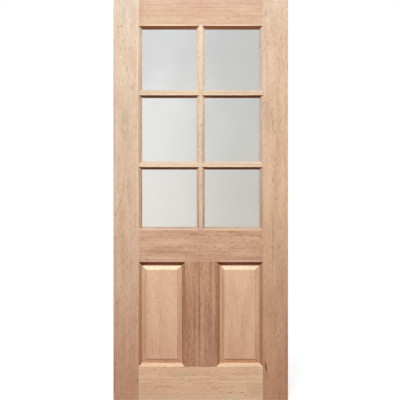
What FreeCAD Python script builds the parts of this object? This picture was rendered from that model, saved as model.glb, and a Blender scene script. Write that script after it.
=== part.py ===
import FreeCAD, Part
import os

# Half glazed timber door leaf, in millimetres. X runs from the hinge edge to the lock edge, Z runs up
# from the bottom edge, and the front faces -Y with the middle of the thickness at Y = 0.

# The leaf
LEAF_WIDTH = 864.0
LEAF_HEIGHT = 1981.0
LEAF_THICKNESS = 44.0
EASED_EDGE = 1.5

# Flat faces of the frame members, each measured up to the arris of its moulding
STILE_FACE = 124.5
TOP_RAIL_FACE = 128.0
LOCK_RAIL_FACE = 158.5
BOTTOM_RAIL_FACE = 165.0
MUNTIN_FACE = 156.0
PANEL_OPENING_HEIGHT = 518.2

# The rows of glass would be even, but the lower cross bars are set a little low
LOWER_BAR_DROP = 15.7

# Moulding worked on the members: a small step down from the face, then a flat ovolo
MOULDING_WIDTH = 16.0
QUIRK = 1.0
OVOLO_RISE = 0.7
LIP = 1.0

# Glazing bars
BAR_FACE = 16.0
BAR_MOULDING_WIDTH = 12.0

# Groove that takes the panels and the tenons
GROOVE_WIDTH = 7.0
GROOVE_DEPTH = 12.0

# Glass and the beads that hold it from the back
GLASS_THICKNESS = 6.4
GLASS_EDGE_CLEARANCE = 2.0
BEAD_WIDTH = 12.0

# Raised and fielded panels
PANEL_EXPANSION_GAP = 2.0
TONGUE_CLEARANCE = 0.2
BEVEL_WIDTH = 22.0
FIELD_SET_BACK = 7.5
FIELD_STEP = 2.0

# Blind tenons, each measured from the foot of the moulding that it passes
RAIL_TENON_LENGTH = 77.0
MUNTIN_TENON_LENGTH = 52.0
TENON_SHOULDER = 24.0
BAR_TENON_LENGTH = 6.0
BAR_TENON_WIDTH = 10.0
MORTICE_END_GAP = 0.5

# How far a cutter runs past the wood that it cuts
SPARE = 5.0

# Across the thickness
FRONT = -LEAF_THICKNESS / 2
BACK = LEAF_THICKNESS / 2
GROOVE_FRONT = -GROOVE_WIDTH / 2
GROOVE_BACK = GROOVE_WIDTH / 2
FACE_TO_GROOVE = (LEAF_THICKNESS - GROOVE_WIDTH) / 2
MOULDING_DEPTH = FACE_TO_GROOVE - LIP
GLASS_BACK = GROOVE_FRONT + GLASS_THICKNESS
BACK_TO_GLASS = BACK - GLASS_BACK

# Across the width
CENTRE = LEAF_WIDTH / 2
STILE_SIGHT = STILE_FACE + MOULDING_WIDTH
STILE_REBATE = STILE_SIGHT - BEAD_WIDTH
MUNTIN_ARRIS = CENTRE - MUNTIN_FACE / 2
MUNTIN_SIGHT = MUNTIN_ARRIS - MOULDING_WIDTH
BAR_HALF = BAR_FACE / 2 + BAR_MOULDING_WIDTH
BAR_SIGHT = CENTRE - BAR_HALF
RIB_HALF = BAR_HALF - BEAD_WIDTH

# Up the height
BOTTOM_RAIL_SIGHT = BOTTOM_RAIL_FACE + MOULDING_WIDTH
LOCK_RAIL_LOW_ARRIS = BOTTOM_RAIL_FACE + PANEL_OPENING_HEIGHT
LOCK_RAIL_LOW_SIGHT = LOCK_RAIL_LOW_ARRIS - MOULDING_WIDTH
LOCK_RAIL_TOP_ARRIS = LOCK_RAIL_LOW_ARRIS + LOCK_RAIL_FACE
LOCK_RAIL_TOP_SIGHT = LOCK_RAIL_TOP_ARRIS + MOULDING_WIDTH
LOCK_RAIL_REBATE = LOCK_RAIL_TOP_SIGHT - BEAD_WIDTH
TOP_RAIL_ARRIS = LEAF_HEIGHT - TOP_RAIL_FACE
TOP_RAIL_SIGHT = TOP_RAIL_ARRIS - MOULDING_WIDTH
TOP_RAIL_REBATE = TOP_RAIL_SIGHT + BEAD_WIDTH
ROW_PITCH = (TOP_RAIL_SIGHT + BAR_HALF - (LOCK_RAIL_TOP_SIGHT - BAR_HALF)) / 3
UPPER_BAR_CENTRE = TOP_RAIL_SIGHT + BAR_HALF - ROW_PITCH
LOWER_BAR_CENTRE = UPPER_BAR_CENTRE - ROW_PITCH - LOWER_BAR_DROP
BAR_CENTRES = {"upper": UPPER_BAR_CENTRE, "lower": LOWER_BAR_CENTRE}

# Glass seen in each column and row, between the feet of the mouldings
COLUMNS = {
    "left": (STILE_SIGHT, BAR_SIGHT),
    "right": (LEAF_WIDTH - BAR_SIGHT, LEAF_WIDTH - STILE_SIGHT),
}
ROWS = {
    "upper": (UPPER_BAR_CENTRE + BAR_HALF, TOP_RAIL_SIGHT),
    "middle": (LOWER_BAR_CENTRE + BAR_HALF, UPPER_BAR_CENTRE - BAR_HALF),
    "lower": (LOCK_RAIL_TOP_SIGHT, LOWER_BAR_CENTRE - BAR_HALF),
}


def vector_on(run, along, across, y):
    """A point given along and across a member that runs up the leaf ("Z") or over it ("X")."""
    if run == "Z":
        return FreeCAD.Vector(across, y, along)
    return FreeCAD.Vector(along, y, across)


def block(run, start, end, low, high, front, back):
    """A square-edged length of wood from start to end, low to high across it and front to back."""
    near = vector_on(run, min(start, end), low, front)
    far = vector_on(run, max(start, end), high, back)
    size = far - near
    return Part.makeBox(size.x, size.y, size.z, near)


def moulded_length(run, start, end, foot, into, face, width, rest):
    """A length whose section is closed by the moulding's curve and the straight lines through rest.

    The section's points are pairs: how far from the moulding's foot into the member, and how deep
    under the face. into is the way into the member, and face is -1 at the front and 1 at the back.
    """
    drop = MOULDING_DEPTH - QUIRK
    chord = (width**2 + drop**2) ** 0.5
    crown = (
        width / 2 - OVOLO_RISE * drop / chord,
        QUIRK + drop / 2 - OVOLO_RISE * width / chord,
    )
    section = [(width, QUIRK), crown, (0.0, MOULDING_DEPTH)] + rest
    corners = [vector_on(run, start, foot + into * u, face * (BACK - depth)) for u, depth in section]
    edges = [Part.Arc(corners[0], corners[1], corners[2]).toShape()]
    straight = corners[2:] + corners[:1]
    edges += [Part.makeLine(a, b) for a, b in zip(straight, straight[1:])]
    length = vector_on(run, end - start, 0.0, 0.0)
    return Part.Face(Part.Wire(edges)).extrude(length)


def moulding_waste(run, start, end, foot, into, face, width):
    """What the moulding cutter takes off one arris."""
    rest = [(-SPARE, MOULDING_DEPTH), (-SPARE, -SPARE), (width, -SPARE)]
    return moulded_length(run, start, end, foot, into, face, width, rest)


def groove_waste(run, start, end, foot, into):
    """The panel groove in an edge that stands at foot."""
    low, high = sorted((foot - into * SPARE, foot + into * GROOVE_DEPTH))
    return block(run, start, end, low, high, GROOVE_FRONT, GROOVE_BACK)


def rebate_waste(run, start, end, foot, into):
    """The glazing rebate in an edge that stands at foot, open to the back."""
    low, high = sorted((foot - into * SPARE, foot + into * BEAD_WIDTH))
    return block(run, start, end, low, high, GROOVE_FRONT, BACK + SPARE)


def panelled_edge(run, start, end, foot, into):
    """Cutters for an edge that holds a panel: a moulding on each face and the groove between."""
    return [
        moulding_waste(run, start, end, foot, into, -1, MOULDING_WIDTH),
        moulding_waste(run, start, end, foot, into, 1, MOULDING_WIDTH),
        groove_waste(run, start, end, foot, into),
    ]


def glazed_edge(run, start, end, foot, into, width):
    """Cutters for an edge that holds glass: a moulding at the front and the rebate behind it."""
    return [
        moulding_waste(run, start, end, foot, into, -1, width),
        rebate_waste(run, start, end, foot, into),
    ]


def tenon(run, root, tip, low, high):
    """A tenon from root to tip, as thick as the groove that it passes."""
    return block(run, root, tip, low, high, GROOVE_FRONT, GROOVE_BACK)


def mortice(run, root, tip, low, high):
    """The hole for a tenon, a little deeper than the tenon is long."""
    deeper = tip + (MORTICE_END_GAP if tip > root else -MORTICE_END_GAP)
    return tenon(run, root, deeper, low, high)


def rail_tenon_spans():
    """The low and high edge of each rail's tenon."""
    return {
        "top": (TOP_RAIL_SIGHT, LEAF_HEIGHT - TENON_SHOULDER),
        "lock": (LOCK_RAIL_LOW_SIGHT + TENON_SHOULDER, LOCK_RAIL_REBATE - TENON_SHOULDER),
        "bottom": (TENON_SHOULDER, BOTTOM_RAIL_SIGHT - TENON_SHOULDER),
    }


def muntin_tenon_span():
    """The low and high side of the muntin's tenons."""
    return MUNTIN_ARRIS + TENON_SHOULDER, LEAF_WIDTH - MUNTIN_ARRIS - TENON_SHOULDER


def bar_tenon_span(centre):
    """The low and high side of a glazing bar's tenon."""
    return centre - BAR_TENON_WIDTH / 2, centre + BAR_TENON_WIDTH / 2


def mirrored(shape):
    """The same piece on the other side of the leaf."""
    return shape.mirror(FreeCAD.Vector(CENTRE, 0, 0), FreeCAD.Vector(1, 0, 0))


def one_solid(shape):
    """The single solid of a finished piece, with its split faces joined again."""
    return shape.removeSplitter().Solids[0]


def hinge_stile():
    """The stile at the hinge edge: panel groove below the lock rail's top edge, rebate above it."""
    wood = block("Z", 0.0, LEAF_HEIGHT, 0.0, STILE_SIGHT, FRONT, BACK)
    outer_edges = [e for e in wood.Edges if e.BoundBox.XMax < EASED_EDGE and e.Length > LEAF_HEIGHT / 2]
    wood = wood.makeFillet(EASED_EDGE, outer_edges)
    bottom = -SPARE
    top = LEAF_HEIGHT + SPARE
    waste = [
        moulding_waste("Z", bottom, top, STILE_SIGHT, -1, -1, MOULDING_WIDTH),
        moulding_waste("Z", bottom, LOCK_RAIL_REBATE, STILE_SIGHT, -1, 1, MOULDING_WIDTH),
        groove_waste("Z", bottom, LOCK_RAIL_REBATE, STILE_SIGHT, -1),
        rebate_waste("Z", LOCK_RAIL_REBATE, top, STILE_SIGHT, -1),
    ]
    for low, high in rail_tenon_spans().values():
        waste.append(mortice("X", STILE_SIGHT, STILE_SIGHT - RAIL_TENON_LENGTH, low, high))
    for centre in BAR_CENTRES.values():
        low, high = bar_tenon_span(centre)
        waste.append(mortice("X", STILE_REBATE, STILE_REBATE - BAR_TENON_LENGTH, low, high))
    return one_solid(wood.cut(waste))


def rail(low, high, tenon_span, waste, stiles):
    """A rail between the stiles, its ends tenoned and coped over their mouldings."""
    wood = block("X", STILE_FACE, LEAF_WIDTH - STILE_FACE, low, high, FRONT, BACK)
    near_tenon = tenon("X", STILE_SIGHT, STILE_SIGHT - RAIL_TENON_LENGTH, *tenon_span)
    wood = wood.fuse([near_tenon, mirrored(near_tenon)])
    return one_solid(wood.cut(waste + stiles))


def top_rail(stiles):
    """The top rail, rebated for the upper panes and morticed for the upright bar."""
    waste = glazed_edge("X", 0.0, LEAF_WIDTH, TOP_RAIL_SIGHT, 1, MOULDING_WIDTH)
    bar_mortice = mortice("Z", TOP_RAIL_REBATE, TOP_RAIL_REBATE + BAR_TENON_LENGTH, *bar_tenon_span(CENTRE))
    return rail(TOP_RAIL_SIGHT, LEAF_HEIGHT, rail_tenon_spans()["top"], waste + [bar_mortice], stiles)


def lock_rail(stiles):
    """The lock rail, with glass above it and panels below."""
    waste = glazed_edge("X", 0.0, LEAF_WIDTH, LOCK_RAIL_TOP_SIGHT, -1, MOULDING_WIDTH)
    waste += panelled_edge("X", 0.0, LEAF_WIDTH, LOCK_RAIL_LOW_SIGHT, 1)
    muntin_tip = LOCK_RAIL_LOW_SIGHT + MUNTIN_TENON_LENGTH
    bar_tip = LOCK_RAIL_REBATE - BAR_TENON_LENGTH
    waste += [
        mortice("Z", LOCK_RAIL_LOW_SIGHT, muntin_tip, *muntin_tenon_span()),
        mortice("Z", LOCK_RAIL_REBATE, bar_tip, *bar_tenon_span(CENTRE)),
    ]
    return rail(LOCK_RAIL_LOW_SIGHT, LOCK_RAIL_TOP_SIGHT, rail_tenon_spans()["lock"], waste, stiles)


def bottom_rail(stiles):
    """The bottom rail, grooved for the panels and morticed for the muntin."""
    waste = panelled_edge("X", 0.0, LEAF_WIDTH, BOTTOM_RAIL_SIGHT, -1)
    muntin_tip = BOTTOM_RAIL_SIGHT - MUNTIN_TENON_LENGTH
    waste.append(mortice("Z", BOTTOM_RAIL_SIGHT, muntin_tip, *muntin_tenon_span()))
    return rail(0.0, BOTTOM_RAIL_SIGHT, rail_tenon_spans()["bottom"], waste, stiles)


def muntin(rails):
    """The upright between the panels, coped over the mouldings of the two rails."""
    start = BOTTOM_RAIL_FACE
    end = LOCK_RAIL_LOW_ARRIS
    wood = block("Z", start, end, MUNTIN_SIGHT, LEAF_WIDTH - MUNTIN_SIGHT, FRONT, BACK)
    low, high = muntin_tenon_span()
    tenons = [
        tenon("Z", BOTTOM_RAIL_SIGHT, BOTTOM_RAIL_SIGHT - MUNTIN_TENON_LENGTH, low, high),
        tenon("Z", LOCK_RAIL_LOW_SIGHT, LOCK_RAIL_LOW_SIGHT + MUNTIN_TENON_LENGTH, low, high),
    ]
    near_edge = panelled_edge("Z", start - SPARE, end + SPARE, MUNTIN_SIGHT, 1)
    far_edge = [mirrored(cutter) for cutter in near_edge]
    return one_solid(wood.cut(near_edge + far_edge).fuse(tenons).cut(rails))


def upright_bar(rails):
    """The glazing bar that runs unbroken from the lock rail to the top rail."""
    start = LOCK_RAIL_TOP_ARRIS
    end = TOP_RAIL_ARRIS
    wood = block("Z", start, end, BAR_SIGHT, LEAF_WIDTH - BAR_SIGHT, FRONT, BACK)
    low, high = bar_tenon_span(CENTRE)
    tenons = [
        tenon("Z", LOCK_RAIL_TOP_SIGHT, LOCK_RAIL_REBATE - BAR_TENON_LENGTH, low, high),
        tenon("Z", TOP_RAIL_SIGHT, TOP_RAIL_REBATE + BAR_TENON_LENGTH, low, high),
    ]
    near_edge = glazed_edge("Z", start - SPARE, end + SPARE, BAR_SIGHT, 1, BAR_MOULDING_WIDTH)
    far_edge = [mirrored(cutter) for cutter in near_edge]
    mortices = []
    for centre in BAR_CENTRES.values():
        across = bar_tenon_span(centre)
        root = CENTRE - RIB_HALF
        near = mortice("X", root, root + BAR_TENON_LENGTH, *across)
        mortices += [near, mirrored(near)]
    return one_solid(wood.cut(near_edge + far_edge).fuse(tenons).cut(rails + mortices))


def cross_bar(centre, stile, upright):
    """A short glazing bar between the hinge stile and the upright bar, coped over both."""
    start = STILE_FACE
    end = CENTRE - BAR_FACE / 2
    low = centre - BAR_HALF
    high = centre + BAR_HALF
    wood = block("X", start, end, low, high, FRONT, BACK)
    across = bar_tenon_span(centre)
    rib = CENTRE - RIB_HALF
    tenons = [
        tenon("X", STILE_SIGHT, STILE_REBATE - BAR_TENON_LENGTH, *across),
        tenon("X", BAR_SIGHT, rib + BAR_TENON_LENGTH, *across),
    ]
    waste = glazed_edge("X", start - SPARE, end + SPARE, low, 1, BAR_MOULDING_WIDTH)
    waste += glazed_edge("X", start - SPARE, end + SPARE, high, -1, BAR_MOULDING_WIDTH)
    return one_solid(wood.cut(waste).fuse(tenons).cut([stile, upright]))


def pane(column, row):
    """A sheet of glass, set in its rebates with a clearance round its edges."""
    lap = BEAD_WIDTH - GLASS_EDGE_CLEARANCE
    left, right = COLUMNS[column]
    low, high = ROWS[row]
    return block("X", left - lap, right + lap, low - lap, high + lap, GROOVE_FRONT, GLASS_BACK)


def bead(run, start, end, foot, into):
    """One glazing bead behind the glass, moulded like the bars and mitred at both ends."""
    rest = [(0.0, BACK_TO_GLASS), (BEAD_WIDTH, BACK_TO_GLASS)]
    heel_start = start - BEAD_WIDTH
    heel_end = end + BEAD_WIDTH
    length = moulded_length(run, heel_start, heel_end, foot, into, 1, BEAD_WIDTH, rest)
    heel = foot + into * BEAD_WIDTH
    plan = [
        vector_on(run, heel_start, heel, GLASS_BACK),
        vector_on(run, start, foot, GLASS_BACK),
        vector_on(run, end, foot, GLASS_BACK),
        vector_on(run, heel_end, heel, GLASS_BACK),
    ]
    mitred = Part.Face(Part.makePolygon(plan + plan[:1])).extrude(FreeCAD.Vector(0, BACK_TO_GLASS, 0))
    return one_solid(length.common(mitred))


def pane_beads(column, row):
    """The four beads of one pane, named by the side of the glass that they hold."""
    left, right = COLUMNS[column]
    low, high = ROWS[row]
    return {
        "top": bead("X", left, right, high, 1),
        "bottom": bead("X", left, right, low, -1),
        "left": bead("Z", low, high, left, -1),
        "right": bead("Z", low, high, right, 1),
    }


def rectangle_at(y, left, right, low, high):
    """A closed rectangle that faces the front."""
    corners = [
        FreeCAD.Vector(left, y, low),
        FreeCAD.Vector(right, y, low),
        FreeCAD.Vector(right, y, high),
        FreeCAD.Vector(left, y, high),
    ]
    return Part.makePolygon(corners + corners[:1])


def left_panel():
    """The panel by the hinge stile, raised and fielded on both faces and free to swell."""
    left = STILE_SIGHT
    right = MUNTIN_SIGHT
    low = BOTTOM_RAIL_SIGHT
    high = LOCK_RAIL_LOW_SIGHT
    side_lap = GROOVE_DEPTH - PANEL_EXPANSION_GAP
    tongue_back = GROOVE_BACK - TONGUE_CLEARANCE
    tongue = block(
        "X", left - side_lap, right + side_lap, low - GROOVE_DEPTH, high + side_lap, -tongue_back, tongue_back
    )
    field = (left + BEVEL_WIDTH, right - BEVEL_WIDTH, low + BEVEL_WIDTH, high - BEVEL_WIDTH)
    field_back = BACK - FIELD_SET_BACK
    bevel_back = field_back - FIELD_STEP
    raised = block("X", *field, -field_back, field_back)
    bevels = []
    for face in (-1, 1):
        base = rectangle_at(face * tongue_back, left, right, low, high)
        shoulder = rectangle_at(face * bevel_back, *field)
        bevels.append(Part.makeLoft([base, shoulder], True, True))
    return one_solid(tongue.fuse([raised] + bevels))


def door_pieces():
    """Every piece of the leaf, by name."""
    pieces = {"hinge_stile": hinge_stile()}
    pieces["lock_stile"] = mirrored(pieces["hinge_stile"])
    stiles = [pieces["hinge_stile"], pieces["lock_stile"]]
    pieces["top_rail"] = top_rail(stiles)
    pieces["lock_rail"] = lock_rail(stiles)
    pieces["bottom_rail"] = bottom_rail(stiles)
    pieces["muntin"] = muntin([pieces["bottom_rail"], pieces["lock_rail"]])
    pieces["left_panel"] = left_panel()
    pieces["right_panel"] = mirrored(pieces["left_panel"])
    pieces["upright_bar"] = upright_bar([pieces["lock_rail"], pieces["top_rail"]])
    for row, centre in BAR_CENTRES.items():
        bar = cross_bar(centre, pieces["hinge_stile"], pieces["upright_bar"])
        pieces[row + "_left_bar"] = bar
        pieces[row + "_right_bar"] = mirrored(bar)
    for row in ROWS:
        for column in COLUMNS:
            corner = row + "_" + column
            pieces[corner + "_glass"] = pane(column, row)
            for side, piece in pane_beads(column, row).items():
                pieces[corner + "_bead_" + side] = piece
    return pieces


os.makedirs("parts", exist_ok=True)
for name, piece in door_pieces().items():
    piece.exportStep("parts/" + name + ".step")
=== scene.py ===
import logging
import math
from collections.abc import Callable
from dataclasses import dataclass, fields
from enum import Enum
from itertools import product

import bmesh
import bpy
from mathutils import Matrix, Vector


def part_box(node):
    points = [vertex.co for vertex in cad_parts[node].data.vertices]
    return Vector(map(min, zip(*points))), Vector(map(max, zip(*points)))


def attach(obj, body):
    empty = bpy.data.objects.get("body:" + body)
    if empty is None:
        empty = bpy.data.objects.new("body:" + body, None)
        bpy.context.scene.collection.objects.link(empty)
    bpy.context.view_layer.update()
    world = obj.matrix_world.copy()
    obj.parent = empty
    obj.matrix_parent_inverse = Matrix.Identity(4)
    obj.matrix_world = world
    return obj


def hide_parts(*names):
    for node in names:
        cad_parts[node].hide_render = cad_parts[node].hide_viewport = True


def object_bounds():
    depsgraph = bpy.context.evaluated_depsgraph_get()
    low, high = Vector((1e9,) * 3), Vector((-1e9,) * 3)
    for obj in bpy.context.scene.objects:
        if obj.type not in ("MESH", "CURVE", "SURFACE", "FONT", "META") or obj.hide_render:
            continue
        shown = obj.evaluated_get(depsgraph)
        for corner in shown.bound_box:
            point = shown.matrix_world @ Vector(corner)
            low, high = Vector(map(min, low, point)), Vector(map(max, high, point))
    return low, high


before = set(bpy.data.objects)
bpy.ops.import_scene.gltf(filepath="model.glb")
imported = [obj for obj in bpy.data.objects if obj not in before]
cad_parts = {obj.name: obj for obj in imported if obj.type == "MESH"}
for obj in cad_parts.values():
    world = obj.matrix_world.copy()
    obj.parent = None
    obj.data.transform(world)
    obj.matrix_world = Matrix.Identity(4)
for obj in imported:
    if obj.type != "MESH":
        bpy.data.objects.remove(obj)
CAD_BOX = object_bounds()

log = logging.getLogger("half_glazed_door")

Colour = tuple[float, float, float]
Point = tuple[float, float, float]
Material = bpy.types.Material
Node = bpy.types.Node
Object = bpy.types.Object
Socket = bpy.types.NodeSocket
Tree = bpy.types.NodeTree
Feed = Socket | float | Colour | Point

WHITE = (1.0, 1.0, 1.0)
BLACK = (0.0, 0.0, 0.0)
LEAF_CENTRE = (CAD_BOX[0] + CAD_BOX[1]) / 2
ROWS = ("upper", "middle", "lower")
COLUMNS = ("left", "right")

# The value that noise stays round.
NOISE_MIDDLE = 0.5
# Two places that are nearer than this, in metres, count as one.
NEAR = 0.00005
# A face looks along an axis when its normal has more than this share of it.
FACING = 0.9


def linear(value: int) -> float:
    """A display value from 0 to 255 in linear light, by the sRGB curve."""
    share = value / 255
    return share / 12.92 if share <= 0.04045 else ((share + 0.055) / 1.055) ** 2.4


def paint(red: int, green: int, blue: int) -> Colour:
    """A colour in linear light from its three display values."""
    return linear(red), linear(green), linear(blue)


def named(*parts: tuple[str, ...]) -> tuple[str, ...]:
    """The names made by every choice of one word from each part."""
    return tuple("_".join(words) for words in product(*parts))


def around(names: tuple[str, ...]) -> tuple[Vector, Vector]:
    """The box round one or more CAD pieces.

    Args:
        names: The pieces' names.

    Returns:
        Its lowest and highest corners.
    """
    boxes = [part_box(name) for name in names]
    low = Vector(min(box[0][axis] for box in boxes) for axis in range(3))
    high = Vector(max(box[1][axis] for box in boxes) for axis in range(3))
    return low, high


class Grain(Enum):
    """Which way the fibres of a piece run."""

    UP = "up the leaf"
    ACROSS = "across the leaf"


class Sheet:
    """A node tree, with short ways to add nodes and join them."""

    def __init__(self, tree: Tree) -> None:
        """Keeps the tree that is worked on."""
        self.tree = tree

    def feed(self, socket: Socket, value: Feed) -> None:
        """Links or sets one input.

        Args:
            socket: The input.
            value: Another node's output to link, or a plain value to set.
        """
        if isinstance(value, Socket):
            self.tree.links.new(value, socket)
        elif socket.type == "RGBA":
            socket.default_value = (*value, 1.0)
        else:
            socket.default_value = value

    def fill(self, node: Node, inputs: dict[str | int, Feed]) -> None:
        """Links or sets several inputs of a node, by their names or numbers."""
        for name, value in inputs.items():
            self.feed(node.inputs[name], value)

    def add(self, kind: str, inputs: dict[str | int, Feed], **settings: object) -> Node:
        """Adds a node.

        Args:
            kind: The node's type, without its leading "ShaderNode".
            inputs: Values or links by input name or number.
            **settings: Attributes to set before the inputs are fed.

        Returns:
            The new node.
        """
        node = self.tree.nodes.new("ShaderNode" + kind)
        for name, value in settings.items():
            setattr(node, name, value)
        self.fill(node, inputs)
        return node

    def math(self, operation: str, *values: Feed, clamp: bool = False) -> Socket:
        """A number worked out from up to three others, and held between 0 and 1 if clamped."""
        node = self.add("Math", dict(enumerate(values)), operation=operation, use_clamp=clamp)
        return node.outputs[0]

    def vector(self, operation: str, *values: Feed) -> Socket:
        """A vector worked out from up to two others, by a Vector Math node's operation."""
        return self.add("VectorMath", dict(enumerate(values)), operation=operation).outputs[0]

    def length(self, place: Feed) -> Socket:
        """How far a place is from the origin."""
        return self.add("VectorMath", {0: place}, operation="LENGTH").outputs["Value"]

    def axis(self, place: Feed, name: str) -> Socket:
        """The X, Y or Z of a place."""
        return self.add("SeparateXYZ", {0: place}).outputs[name]

    def noise(self, place: Feed, cells: Point, detail: float, roughness: float = 0.5) -> Node:
        """Smooth noise.

        Args:
            place: Where it is read.
            cells: How many cells of noise a metre holds along X, Y and Z.
            detail: How many finer layers it has.
            roughness: How strong those layers are.

        Returns:
            The noise node. Its outputs are mostly near the middle.
        """
        scaled = self.vector("MULTIPLY", place, cells)
        inputs = {"Vector": scaled, "Scale": 1.0, "Detail": detail, "Roughness": roughness}
        return self.add("TexNoise", inputs)

    def ramp(self, value: Feed, low: float, high: float, smooth: bool = True) -> Socket:
        """A step from 0 to 1.

        Args:
            value: The number that is stepped.
            low: Where the step starts from 0.
            high: Where it reaches 1. If this is below low, the step falls instead.
            smooth: Whether it starts and ends softly.

        Returns:
            0 to 1.
        """
        inputs = {"Value": value, "From Min": low, "From Max": high}
        kind = "SMOOTHSTEP" if smooth else "LINEAR"
        return self.add("MapRange", inputs, interpolation_type=kind).outputs[0]

    def mix(self, share: Feed, first: Feed, second: Feed, blend: str = "MIX") -> Socket:
        """Two colours mixed, with a share of the second."""
        inputs = {0: share, 6: first, 7: second}
        return self.add("Mix", inputs, data_type="RGBA", blend_type=blend).outputs[2]

    def between(self, share: Feed, first: Feed, second: Feed) -> Socket:
        """Two numbers mixed, with a share of the second."""
        return self.add("Mix", {0: share, 2: first, 3: second}, data_type="FLOAT").outputs[0]

    def tinted(self, colour: Feed, tint: Feed) -> Socket:
        """A colour multiplied by another."""
        return self.mix(1.0, colour, tint, "MULTIPLY")

    def stacked(self, lower: Feed, upper: Feed, tones: tuple[Colour, Colour, Colour]) -> Socket:
        """Foot, waist and head tones mixed: lower leads to the waist's, upper to the head's."""
        foot, waist, head = tones
        return self.mix(upper, self.mix(lower, foot, waist), head)


def new_group(
    name: str, inputs: dict[str, str], outputs: dict[str, str]
) -> tuple[Sheet, dict[str, Socket], dict[str, Socket]]:
    """An empty shader group with named sockets.

    Args:
        name: The group's name.
        inputs: Each input's socket kind, such as Float, by name.
        outputs: Each output's socket kind by name.

    Returns:
        The sheet to build on, the group's inputs to read from, and its outputs to feed.
    """
    tree = bpy.data.node_groups.new(name, "ShaderNodeTree")
    for side, sockets in (("INPUT", inputs), ("OUTPUT", outputs)):
        for label, kind in sockets.items():
            tree.interface.new_socket(name=label, in_out=side, socket_type="NodeSocket" + kind)
    given = tree.nodes.new("NodeGroupInput").outputs
    result = tree.nodes.new("NodeGroupOutput").inputs
    sources = {label: given[label] for label in inputs}
    targets = {label: result[label] for label in outputs}
    return Sheet(tree), sources, targets


def new_material(name: str) -> tuple[Material, Sheet, Node]:
    """A new material.

    Args:
        name: The material's name.

    Returns:
        The material, its sheet to build on, and its shader.
    """
    material = bpy.data.materials.new(name)
    material.use_nodes = True
    tree = material.node_tree
    return material, Sheet(tree), tree.nodes["Principled BSDF"]


@dataclass(frozen=True)
class Streak:
    """One kind of mark along the fibres: its size in metres, and the noise at its rim and core."""

    width: float
    length: float
    rim: float
    core: float


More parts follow.
